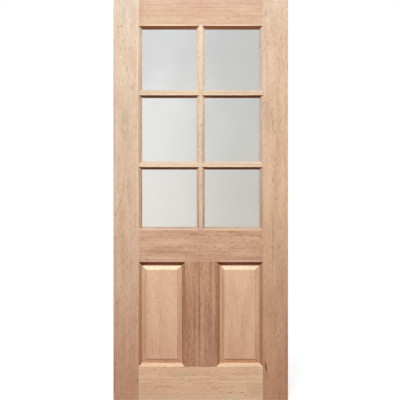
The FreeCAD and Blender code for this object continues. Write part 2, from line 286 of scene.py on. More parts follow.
@dataclass(frozen=True)
class TimberFigure:
    """The figure of a tropical hardwood, with Z of its position along the fibres, in metres."""

    mottle: Streak = Streak(0.045, 0.220, 0.32, 0.68)
    ribbon: Streak = Streak(0.010, 0.500, 0.36, 0.64)
    fleck: Streak = Streak(0.0048, 0.024, 0.50, 0.72)
    fibre: Streak = Streak(0.0012, 0.060, 0.35, 0.65)
    pore: Streak = Streak(0.0004, 0.006, 0.56, 0.68)
    streak_detail: float = 1.5
    streak_roughness: float = 0.55
    early_wood: float = 0.34
    late_wood: float = 0.68
    ring_detail: float = 1.0
    drift_cells: Point = (9.0, 9.0, 2.0)
    drift_detail: float = 2.0
    roughness: float = 0.34
    pore_roughness: float = 0.2
    fleck_height: float = -0.25
    fibre_height: float = -0.2
    pore_height: float = -1.0
    colours: tuple[str, ...] = ("Pale", "Deep", "Mark Colour")
    numbers: tuple[str, ...] = (
        "Ring Spacing", "Wander", "Rings", "Ribbon", "Flecks", "Fibres", "Pores",
    )

    def build(self) -> Tree:
        """The group that every timber uses.

        Returns:
            A group from a position, two tones and strengths to a colour, a roughness and a height.
        """
        inputs = {"Position": "Vector"}
        inputs.update(dict.fromkeys(self.colours, "Color"))
        inputs.update(dict.fromkeys(self.numbers, "Float"))
        outputs = {"Color": "Color", "Roughness": "Float", "Height": "Float"}
        sheet, given, result = new_group("Timber figure", inputs, outputs)
        bent = self.bent(sheet, given["Position"], given["Wander"])
        tone = self.streaks(sheet, bent, self.mottle)
        rings = self.rings(sheet, bent, given["Ring Spacing"])
        tone = sheet.between(given["Rings"], tone, rings)
        tone = sheet.between(given["Ribbon"], tone, self.streaks(sheet, bent, self.ribbon))
        flecks = self.streaks(sheet, bent, self.fleck)
        fibres = self.streaks(sheet, bent, self.fibre)
        pores = self.streaks(sheet, bent, self.pore)
        shade = sheet.math("MULTIPLY", flecks, given["Flecks"])
        shade = sheet.math("MULTIPLY_ADD", fibres, given["Fibres"], shade)
        shade = sheet.math("MULTIPLY_ADD", pores, given["Pores"], shade, clamp=True)
        plain = sheet.mix(tone, given["Pale"], given["Deep"])
        marked = sheet.tinted(plain, given["Mark Colour"])
        dull = sheet.math("MULTIPLY_ADD", pores, self.pore_roughness, self.roughness)
        height = sheet.math("MULTIPLY", fibres, self.fibre_height)
        height = sheet.math("MULTIPLY_ADD", flecks, self.fleck_height, height)
        height = sheet.math("MULTIPLY_ADD", pores, self.pore_height, height)
        sheet.feed(result["Color"], sheet.mix(shade, plain, marked))
        sheet.feed(result["Roughness"], dull)
        sheet.feed(result["Height"], height)
        return sheet.tree

    def bent(self, sheet: Sheet, place: Feed, wander: Feed) -> Socket:
        """The position moved by a slow drift, so that the figure wanders.

        Args:
            sheet: The group's sheet.
            place: The position.
            wander: How far it can drift, in metres.

        Returns:
            The bent position.
        """
        drift = sheet.noise(place, self.drift_cells, self.drift_detail).outputs["Color"]
        centred = sheet.vector("SUBTRACT", drift, (NOISE_MIDDLE,) * 3)
        shift = sheet.add("VectorMath", {0: centred, "Scale": wander}, operation="SCALE")
        return sheet.vector("ADD", place, shift.outputs[0])

    def rings(self, sheet: Sheet, place: Feed, spacing: Feed) -> Socket:
        """Growth rings round the pith, which stands at the origin of X and Y.

        Args:
            sheet: The group's sheet.
            place: The bent position.
            spacing: The distance between rings, in metres.

        Returns:
            0 in the early wood to 1 in the late wood.
        """
        radius = sheet.length(sheet.vector("MULTIPLY", place, (1.0, 1.0, 0.0)))
        turns = sheet.math("DIVIDE", radius, spacing)
        inputs = {"W": turns, "Scale": 1.0, "Detail": self.ring_detail}
        uneven = sheet.add("TexNoise", inputs, noise_dimensions="1D").outputs["Fac"]
        return sheet.ramp(uneven, self.early_wood, self.late_wood)

    def streaks(self, sheet: Sheet, place: Feed, kind: Streak) -> Socket:
        """Marks drawn out along the fibres.

        Args:
            sheet: The group's sheet.
            place: The bent position.
            kind: The size and the limits of the marks.

        Returns:
            0 to 1.
        """
        cells = (1 / kind.width, 1 / kind.width, 1 / kind.length)
        noise = sheet.noise(place, cells, self.streak_detail, self.streak_roughness)
        return sheet.ramp(noise.outputs["Fac"], kind.rim, kind.core)


@dataclass(frozen=True)
class TimberMark:
    """The soft oval that knots, checks, flecks, pale streaks, painted highlights and painted
    shadow lines share, with ragged edges.
    """

    rim: float = 1.0
    core: float = 0.2
    ragged: float = 0.9
    ragged_cells: Point = (220.0, 220.0, 220.0)
    ragged_detail: float = 2.0

    def build(self) -> Tree:
        """The group that every mark uses.

        Returns:
            A group from a position, a place and a size to a soft oval mask.
        """
        inputs = {"Position": "Vector", "Place": "Vector", "Half Size": "Vector", "Lean": "Float"}
        sheet, given, result = new_group("Timber mark", inputs, {"Mask": "Float"})
        offset = sheet.vector("SUBTRACT", given["Position"], given["Place"])
        turn = {"Vector": offset, "Axis": (0.0, 1.0, 0.0), "Angle": given["Lean"]}
        leaned = sheet.add("VectorRotate", turn, rotation_type="AXIS_ANGLE").outputs[0]
        reach = sheet.length(sheet.vector("DIVIDE", leaned, given["Half Size"]))
        noise = sheet.noise(given["Position"], self.ragged_cells, self.ragged_detail)
        centred = sheet.math("SUBTRACT", noise.outputs["Fac"], NOISE_MIDDLE)
        uneven = sheet.math("MULTIPLY_ADD", centred, self.ragged, reach)
        sheet.feed(result["Mask"], sheet.ramp(uneven, self.rim, self.core))
        return sheet.tree


@dataclass(frozen=True)
class WorkedEdges:
    """The mouldings and bevels on a board's front, told apart by the way that they face, so that
    painted light and shade can be laid on them.

    All lengths are in metres. A worked surface starts at shallow below its board's face, and is
    sure from deep on. The lines are places on Y where the glass and the panels' margins lie.
    """

    shallow: float = 0.0006
    deep: float = 0.0020
    glass_line: float = -0.0028
    margin_line: float = -0.0045
    leaf_margin: float = 0.030
    blur: float = 0.001

    def build(self) -> Tree:
        """The group that every timber uses.

        Returns:
            A group from a position and a board's centre, half size and face to three masks.
        """
        inputs = {"Position": "Vector", "Centre": "Vector", "Half Size": "Vector", "Face": "Float"}
        outputs = dict.fromkeys(("Side", "Top", "Under"), "Float")
        sheet, given, result = new_group("Worked edges", inputs, outputs)
        place, centre = given["Position"], given["Centre"]
        worked = self.below_face(sheet, place, given["Face"])
        reach = self.reach(sheet, place, centre, given["Half Size"])
        nearer = sheet.math("SUBTRACT", reach.outputs["Z"], reach.outputs["X"])
        side = sheet.ramp(nearer, -self.blur, self.blur)
        height = sheet.axis(sheet.vector("SUBTRACT", place, centre), "Z")
        upper = sheet.ramp(height, -self.blur, self.blur)
        level = sheet.math("MULTIPLY", worked, sheet.math("SUBTRACT", 1.0, side))
        under = sheet.math("MULTIPLY", level, sheet.math("SUBTRACT", 1.0, upper))
        depth = sheet.axis(place, "Y")
        raised = sheet.ramp(depth, self.margin_line + self.blur, self.margin_line)
        sheet.feed(result["Side"], sheet.math("MULTIPLY", worked, side))
        sheet.feed(result["Top"], sheet.math("MULTIPLY", level, upper))
        sheet.feed(result["Under"], sheet.math("MULTIPLY", under, raised))
        return sheet.tree

    def below_face(self, sheet: Sheet, place: Feed, face: Feed) -> Socket:
        """Where the front is cut below the face of its board, away from the leaf's own edges.

        Args:
            sheet: The group's sheet.
            place: The place.
            face: Where the board's face is on Y.

        Returns:
            1 on mouldings and bevels, and 0 elsewhere.
        """
        half = tuple(CAD_BOX[1] - LEAF_CENTRE)
        inside = self.reach(sheet, place, tuple(LEAF_CENTRE), half)
        margin = sheet.math("MINIMUM", inside.outputs["X"], inside.outputs["Z"])
        depth = sheet.axis(place, "Y")
        cut = sheet.ramp(sheet.math("SUBTRACT", depth, face), self.shallow, self.deep)
        cut = sheet.math("MULTIPLY", cut, sheet.ramp(margin, 0.0, self.leaf_margin))
        front = sheet.ramp(depth, self.glass_line + self.blur, self.glass_line)
        return sheet.math("MULTIPLY", cut, front)

    def reach(self, sheet: Sheet, place: Feed, centre: Feed, half: Feed) -> Node:
        """A node with the distances along X, Y and Z from a place to the sides of a box."""
        offset = sheet.vector("ABSOLUTE", sheet.vector("SUBTRACT", place, centre))
        return sheet.add("SeparateXYZ", {0: sheet.vector("SUBTRACT", half, offset)})


@dataclass(frozen=True)
class TimberGroups:
    """The node groups that the timbers share."""

    figure: Tree
    mark: Tree
    worked: Tree


@dataclass(frozen=True)
class Mark:
    """Where one mark is on the front, in metres from the leaf's lower hinge corner, and its look.

    A lean, in degrees, turns its top towards the hinge edge. It is centred on the leaf's face, or
    behind it by set_back.
    """

    across: float
    height: float
    half_width: float
    half_height: float
    half_depth: float = 0.016
    lean: float = 0.0
    strength: float = 0.5
    set_back: float = 0.0
    colour: Colour = paint(120, 78, 56)


TAN_SHADE = paint(150, 128, 108)
BROWN_SHADE = paint(150, 112, 84)
ROSE_SHADE = paint(158, 112, 96)
# Painted shade on the panels' side bevels.
BEVEL_PAINTED_SHADE = paint(200, 154, 124)
TAN_LIGHT = paint(232, 204, 176)
# Painted highlight along the arrises of the mouldings.
ARRIS_PAINTED_HIGHLIGHT = paint(232, 205, 180)
# Painted highlight along the lock rail's upper arris.
LOCK_ARRIS_PAINTED_HIGHLIGHT = paint(244, 196, 158)
# Painted light on the panels' side bevels.
BEVEL_PAINTED_LIGHT = paint(255, 224, 188)
# Painted light on the shaded foot of the mouldings under the rails and bars.
MOULDING_FOOT_PAINTED_LIGHT = paint(255, 228, 210)


@dataclass(frozen=True)
class TimberFinish:
    """Bare sanded hardwood, as one board shows it.

    The fields that are named like an input of the timber figure feed that input. The colours from
    foot to head tint it up the leaf. The four shading colours are painted light and shade: they
    tint its mouldings and bevels by the way that they face, and the sides also by height, between
    side_low and side_high.
    """

    pale: Colour
    deep: Colour
    foot: Colour = WHITE
    waist: Colour = WHITE
    head: Colour = WHITE
    mark_colour: Colour = paint(196, 170, 152)
    grain: Grain = Grain.UP
    pith: Point = (0.0, 0.07, 0.0)
    tilt: float = 1.0
    ring_spacing: float = 0.012
    wander: float = 0.016
    rings: float = 0.35
    ribbon: float = 0.25
    flecks: float = 0.30
    fibres: float = 0.15
    pores: float = 0.35
    specular: float = 0.10
    relief: float = 0.15
    relief_depth: float = 0.0003
    # Painted light and shade: tints that lighten or darken the mouldings and bevels by their
    # facing.
    painted_shading_side: Colour = WHITE
    painted_shading_side_high: Colour = WHITE
    worked_top: Colour = WHITE
    painted_shading_under: Colour = WHITE
    side_low: float = 0.40
    side_high: float = 1.70
    marks: tuple[Mark, ...] = ()

    def build(self, name: str, groups: TimberGroups, boards: tuple[str, ...]) -> Material:
        """The board's material.

        Args:
            name: The material's name.
            groups: The node groups that the timbers share.
            boards: The CAD pieces in line that wear it, whose box its worked edges follow.

        Returns:
            The finished material.
        """
        material, sheet, shader = new_material(name)
        place = sheet.add("TexCoord", {}).outputs["Object"]
        labels = TimberFigure.colours + TimberFigure.numbers
        inputs = {label: getattr(self, label.lower().replace(" ", "_")) for label in labels}
        inputs["Position"] = self.along_fibres(sheet, place)
        wood = sheet.add("Group", inputs, node_tree=groups.figure).outputs
        colour = sheet.tinted(wood["Color"], self.height_tint(sheet, place))
        for mark in self.marks:
            colour = self.marked(sheet, groups.mark, mark, place, colour)
        colour = self.worked(sheet, groups.worked, around(boards), place, colour)
        relief = {"Strength": self.relief, "Distance": self.relief_depth, "Height": wood["Height"]}
        looks = {
            "Base Color": colour,
            "Roughness": wood["Roughness"],
            "Normal": sheet.add("Bump", relief).outputs[0],
            "Specular IOR Level": self.specular,
        }
        sheet.fill(shader, looks)
        return material

    def height_tint(self, sheet: Sheet, place: Feed) -> Socket:
        """How the board darkens or warms from its head to its foot.

        Args:
            sheet: The material's sheet.
            place: Object coordinates.

        Returns:
            A colour to multiply the timber by.
        """
        height = sheet.axis(place, "Z")
        lower = sheet.ramp(height, CAD_BOX[0].z, LEAF_CENTRE.z, smooth=False)
        upper = sheet.ramp(height, LEAF_CENTRE.z, CAD_BOX[1].z, smooth=False)
        return sheet.stacked(lower, upper, (self.foot, self.waist, self.head))

    def worked(
        self, sheet: Sheet, group: Tree, box: tuple[Vector, Vector], place: Feed, colour: Feed
    ) -> Socket:
        """The colour with painted light and shade on the mouldings and bevels, by their facing.

        Args:
            sheet: The material's sheet.
            group: The worked edges group.
            box: The board's lowest and highest corners.
            place: Object coordinates.
            colour: The colour of the flat wood.

        Returns:
            The colour with its painted light and shade.
        """
        low, high = box
        centre = (low + high) / 2
        inputs = {
            "Position": place,
            "Centre": tuple(centre),
            "Half Size": tuple(high - centre),
            "Face": low.y,
        }
        masks = sheet.add("Group", inputs, node_tree=group).outputs
        rise = sheet.ramp(sheet.axis(place, "Z"), self.side_low, self.side_high, smooth=False)
        side = sheet.mix(rise, self.painted_shading_side, self.painted_shading_side_high)
        # Painted light and shade, laid on each facing of the worked surfaces.
        tones = {"Side": side, "Top": self.worked_top, "Under": self.painted_shading_under}
        for label, tone in tones.items():
            colour = sheet.mix(masks[label], colour, sheet.tinted(colour, tone))
        return colour

    def along_fibres(self, sheet: Sheet, place: Feed) -> Socket:
        """The position measured from the tree's pith, with Z along the fibres.

        Args:
            sheet: The material's sheet.
            place: Object coordinates.

        Returns:
            The position.
        """
        across = math.radians(90.0) if self.grain is Grain.ACROSS else 0.0
        turn = (math.radians(self.tilt), across, 0.0)
        inputs = {"Vector": place, "Location": self.pith, "Rotation": turn}
        return sheet.add("Mapping", inputs).outputs[0]

    def marked(self, sheet: Sheet, group: Tree, mark: Mark, place: Feed, colour: Feed) -> Socket:
        """The colour with one mark laid over it.

        Args:
            sheet: The material's sheet.
            group: The timber mark group.
            mark: The mark.
            place: Object coordinates.
            colour: The colour under the mark.

        Returns:
            The marked colour.
        """
        inputs = {
            "Position": place,
            "Place": (mark.across, CAD_BOX[0].y + mark.set_back, mark.height),
            "Half Size": (mark.half_width, mark.half_depth, mark.half_height),
            "Lean": math.radians(mark.lean),
        }
        mask = sheet.add("Group", inputs, node_tree=group).outputs["Mask"]
        return sheet.mix(sheet.math("MULTIPLY", mask, mark.strength), colour, mark.colour)


@dataclass(frozen=True)
class ObscureGlass:
    """Smooth translucent white glass, with painted reflection and shade in its colours: darker
    towards the lock edge and warmer low down.

    The shaded colours multiply the others at the lock edge. Both sets drift a little by a cloud.
    """

    name: str = "obscure_glass"
    # Painted reflection: the glass's colours from head to foot.
    head: Colour = paint(211, 212, 212)
    waist: Colour = paint(229, 229, 228)
    foot: Colour = paint(227, 225, 217)
    shaded_head: Colour = paint(233, 232, 231)
    shaded_waist: Colour = paint(220, 220, 216)
    shaded_foot: Colour = paint(222, 220, 220)
    waist_level: float = 0.5
    cloud_cells: Point = (5.0, 5.0, 5.0)
    cloud_detail: float = 1.0
    drift: float = 0.15
    roughness: float = 0.2
    refraction: float = 1.5

    def build(self) -> Material:
        """The glass material.

        Returns:
            The finished material.
        """
        material, sheet, shader = new_material(self.name)
        place = sheet.add("TexCoord", {}).outputs["Object"]
        low, high = around(named(ROWS, COLUMNS, ("glass",)))
        cloud = sheet.noise(place, self.cloud_cells, self.cloud_detail).outputs["Fac"]
        drift = sheet.math("MULTIPLY_ADD", cloud, 2 * self.drift, -self.drift)
        side = sheet.ramp(sheet.axis(place, "X"), low.x, high.x)
        side = sheet.math("ADD", side, drift, clamp=True)
        rise = sheet.ramp(sheet.axis(place, "Z"), low.z, high.z, smooth=False)
        level = sheet.math("ADD", rise, drift, clamp=True)
        lower = sheet.ramp(level, 0.0, self.waist_level)
        upper = sheet.ramp(level, self.waist_level, 1.0)
        # Painted reflection from head to foot, and painted shade towards the lock edge.
        tint = sheet.stacked(lower, upper, (self.foot, self.waist, self.head))
        shaded = (self.shaded_foot, self.shaded_waist, self.shaded_head)
        shade = sheet.mix(side, WHITE, sheet.stacked(lower, upper, shaded))
        looks = {
            "Base Color": sheet.tinted(tint, shade),
            "Roughness": self.roughness,
            "Transmission Weight": 1.0,
            "IOR": self.refraction,
        }
        sheet.fill(shader, looks)
        return material


def dress(names: tuple[str, ...], material: Material) -> None:
    """Gives CAD pieces their material.

    Args:
        names: The pieces' names.
        material: The material for all of them.
    """
    for name in names:
        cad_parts[name].material_slots[0].material = material
        log.info("%s: %s", name, material.name)


@dataclass(frozen=True)
class Joinery:
    """The stiles, rails and muntin, each board with its own figure."""

    hinge_stile: TimberFinish = TimberFinish(
        pale=paint(222, 197, 173),
        deep=paint(204, 173, 149),
        painted_shading_side=(0.79, 0.68, 0.57),
        painted_shading_side_high=(1.08, 1.05, 1.02),
        foot=paint(243, 213, 199),
        waist=paint(255, 255, 253),
        head=paint(240, 250, 255),
        pith=(-0.06, 0.09, 0.0),
        flecks=0.36,
        marks=(
            # Painted highlights along the moulding's arris.
            Mark(0.1185, 1.66, 0.006, 0.26, strength=0.48, colour=ARRIS_PAINTED_HIGHLIGHT),
            Mark(0.1185, 1.15, 0.006, 0.38, strength=0.26, colour=ARRIS_PAINTED_HIGHLIGHT),
            Mark(0.1234, 0.99, 0.0036, 0.2, strength=0.45, colour=ARRIS_PAINTED_HIGHLIGHT),
            # Painted shadow line at the moulding's foot beside the glass.
            Mark(0.1396, 1.0, 0.003, 0.2, strength=0.92, set_back=0.014),
            Mark(0.004, 1.45, 0.0065, 0.7, strength=0.34, colour=TAN_SHADE),
            Mark(0.048, 1.9, 0.022, 0.06, strength=0.2, colour=TAN_SHADE),
            Mark(0.038, 1.85, 0.008, 0.007, strength=0.55),
            Mark(0.021, 1.847, 0.003, 0.016, lean=28.0, strength=0.42),
            Mark(0.047, 1.866, 0.003, 0.02, lean=-32.0, strength=0.26),
            Mark(0.065, 1.634, 0.0025, 0.04, lean=-8.0, strength=0.45),
            Mark(0.01, 1.392, 0.003, 0.008, strength=0.4),
            Mark(0.054, 1.385, 0.048, 0.13, strength=0.24, colour=TAN_SHADE),
            Mark(0.055, 1.347, 0.024, 0.062, strength=0.22, colour=TAN_SHADE),
            Mark(0.056, 1.35, 0.012, 0.03, strength=0.4, colour=TAN_LIGHT),
            Mark(0.056, 1.16, 0.0025, 0.09, lean=-2.0, strength=0.32),
            Mark(0.0486, 1.0549, 0.0028, 0.056, lean=-5.0, strength=0.46),
            Mark(0.0318, 0.9757, 0.0028, 0.056, lean=-18.0, strength=0.52),
            Mark(0.0548, 1.018, 0.004, 0.06, lean=-9.0, strength=0.26, colour=TAN_LIGHT),
            Mark(0.12, 1.23, 0.01, 0.25, strength=0.15, colour=TAN_LIGHT),
            Mark(0.013, 0.915, 0.003, 0.02, strength=0.4),
            Mark(0.085, 0.66, 0.003, 0.07, strength=0.35),
            Mark(0.016, 0.48, 0.008, 0.012, strength=0.4),
            Mark(0.0, 0.11, 0.01, 0.16, strength=0.35),
            Mark(0.1215, 0.0965, 0.004, 0.015, strength=0.65),
        ),
    )
    lock_stile: TimberFinish = TimberFinish(
        pale=paint(218, 186, 165),
        deep=paint(201, 166, 143),
        painted_shading_side=(0.79, 0.75, 0.69),
        painted_shading_side_high=(1.07, 1.19, 1.40),
        foot=paint(239, 213, 193),
        waist=paint(255, 254, 241),
        head=paint(243, 255, 255),
        pith=(-0.79, 0.09, 3.0),
        flecks=0.42,
        marks=(
            # Painted highlights along the moulding's arris.
            Mark(0.746, 1.68, 0.006, 0.23, strength=0.32, colour=ARRIS_PAINTED_HIGHLIGHT),
            Mark(0.746, 1.12, 0.006, 0.33, strength=0.18, colour=ARRIS_PAINTED_HIGHLIGHT),
            Mark(0.854, 0.26, 0.014, 0.38, strength=0.34, colour=BROWN_SHADE),
            Mark(0.757, 1.915, 0.018, 0.032, strength=0.26, colour=ROSE_SHADE),
            Mark(0.745, 1.733, 0.01, 0.004, lean=36.0, strength=0.62),
            Mark(0.835, 1.748, 0.004, 0.014, strength=0.3),
            Mark(0.7466, 1.473, 0.004, 0.014, lean=-38.0, strength=0.6),
            Mark(0.765, 1.42, 0.034, 0.11, strength=0.2, colour=ROSE_SHADE),
            Mark(0.7865, 1.377, 0.003, 0.07, lean=8.0, strength=0.45),
            Mark(0.7925, 1.325, 0.004, 0.03, strength=0.4),
            Mark(0.764, 1.02, 0.028, 0.24, strength=0.22, colour=TAN_LIGHT),
            Mark(0.825, 0.68, 0.06, 0.25, strength=0.2, colour=BROWN_SHADE),
            Mark(0.789, 0.76, 0.0025, 0.3, strength=0.42),
            Mark(0.7955, 0.62, 0.005, 0.13, strength=0.25, colour=TAN_LIGHT),
            Mark(0.8086, 0.525, 0.003, 0.012, strength=0.4),
            Mark(0.7543, 0.1635, 0.0056, 0.04, lean=7.6, strength=1.0, colour=paint(98, 55, 33)),
        ),
    )
    top_rail: TimberFinish = TimberFinish(
        pale=paint(200, 174, 148),
        deep=paint(189, 152, 131),
        painted_shading_under=(0.73, 0.43, 0.28),
        grain=Grain.ACROSS,
        pith=(0.0, 0.10, 1.0),
        marks=(
            # Painted light on the shaded foot of the moulding below.
            Mark(0.432, 1.8392, 0.44, 0.004, strength=0.7, set_back=0.0155, colour=MOULDING_FOOT_PAINTED_LIGHT),
            Mark(0.45, 1.9458, 0.32, 0.006, strength=0.28, colour=ROSE_SHADE),
            Mark(0.138, 1.92, 0.018, 0.08, strength=0.22, colour=ROSE_SHADE),
            # Painted highlights along the lower arris.
            Mark(0.282, 1.855, 0.23, 0.0055, strength=0.9, colour=ARRIS_PAINTED_HIGHLIGHT),
            Mark(0.582, 1.855, 0.23, 0.0055, strength=0.9, colour=ARRIS_PAINTED_HIGHLIGHT),
        ),
    )
    lock_rail: TimberFinish = TimberFinish(
        pale=paint(215, 181, 152),
        deep=paint(194, 149, 121),
        painted_shading_under=(0.74, 0.32, 0.25),
        worked_top=(0.80, 0.95, 1.08),
        grain=Grain.ACROSS,
        pith=(-0.1, 0.12, 2.0),
        flecks=0.5,
        pores=0.60,
        marks=(
            # Painted light on the shaded foot of the moulding below.
            Mark(0.24, 0.6708, 0.17, 0.0045, strength=1.0, set_back=0.0155, colour=MOULDING_FOOT_PAINTED_LIGHT),
            Mark(0.624, 0.6708, 0.17, 0.0045, strength=1.0, set_back=0.0155, colour=MOULDING_FOOT_PAINTED_LIGHT),
            # Painted highlights along the lower arris.
            Mark(0.24, 0.6882, 0.14, 0.0034, strength=0.45, colour=ARRIS_PAINTED_HIGHLIGHT),
            Mark(0.624, 0.6882, 0.14, 0.0034, strength=0.45, colour=ARRIS_PAINTED_HIGHLIGHT),
            Mark(0.395, 0.822, 0.024, 0.005, strength=0.5),
            # Painted highlights along the upper arris.
            Mark(0.282, 0.8448, 0.23, 0.004, strength=0.7, colour=LOCK_ARRIS_PAINTED_HIGHLIGHT),
            Mark(0.582, 0.844, 0.23, 0.0045, strength=0.7, colour=LOCK_ARRIS_PAINTED_HIGHLIGHT),
            Mark(0.43, 0.82, 0.07, 0.014, strength=0.25, colour=BROWN_SHADE),
            Mark(0.66, 0.822, 0.14, 0.012, strength=0.26, colour=BROWN_SHADE),
            Mark(0.28, 0.788, 0.22, 0.026, strength=0.45, colour=paint(224, 190, 160)),
            Mark(0.29, 0.73, 0.21, 0.008, strength=0.42, colour=ROSE_SHADE),
            Mark(0.24, 0.703, 0.13, 0.009, strength=0.35, colour=TAN_LIGHT),
            Mark(0.67, 0.702, 0.17, 0.012, strength=0.42, colour=ROSE_SHADE),
            Mark(0.43, 0.698, 0.34, 0.024, strength=0.25, colour=paint(190, 138, 114)),
        ),
    )
    bottom_rail: TimberFinish = TimberFinish(
        pale=paint(238, 201, 166),
        deep=paint(222, 179, 146),
        worked_top=(0.92, 1.04, 1.08),
        grain=Grain.ACROSS,
        pith=(0.2, 0.15, 6.0),
        flecks=0.38,
        marks=(
            Mark(0.432, 0.004, 0.42, 0.044, strength=0.3, colour=TAN_LIGHT),
            Mark(0.34, 0.125, 0.11, 0.018, strength=0.18, colour=TAN_SHADE),
            Mark(0.53, 0.042, 0.018, 0.004, strength=0.3),
            Mark(0.575, 0.0374, 0.018, 0.005, strength=0.5),
            Mark(0.637, 0.037, 0.014, 0.005, strength=0.5),
            Mark(0.5, 0.054, 0.03, 0.003, strength=0.25),
            Mark(0.705, 0.048, 0.07, 0.05, strength=0.16, colour=ROSE_SHADE),
        ),
    )
    muntin: TimberFinish = TimberFinish(
        pale=paint(209, 172, 139),
        deep=paint(178, 134, 104),
        painted_shading_side=(0.93, 0.89, 0.82),
        foot=paint(253, 236, 241),
        pith=(-0.43, 0.2, 5.0),
        ribbon=0.45,
        flecks=0.52,
        fibres=0.30,
        pores=0.60,
        marks=(
            Mark(0.402, 0.425, 0.005, 0.3, strength=0.36),
            Mark(0.4246, 0.425, 0.007, 0.3, strength=0.36),
            Mark(0.4414, 0.425, 0.014, 0.33, strength=0.1, colour=TAN_LIGHT),
            Mark(0.4785, 0.425, 0.014, 0.3, strength=0.16),
            Mark(0.4934, 0.425, 0.011, 0.33, strength=0.15, colour=TAN_LIGHT),
        ),
    )

    def build(self, groups: TimberGroups) -> None:
        """Gives each board the finish that is kept under its name.

        Args:
            groups: The node groups that the timbers share.
        """
        for board in fields(self):
            finish = getattr(self, board.name)
            dress((board.name,), finish.build(board.name + "_board", groups, (board.name,)))


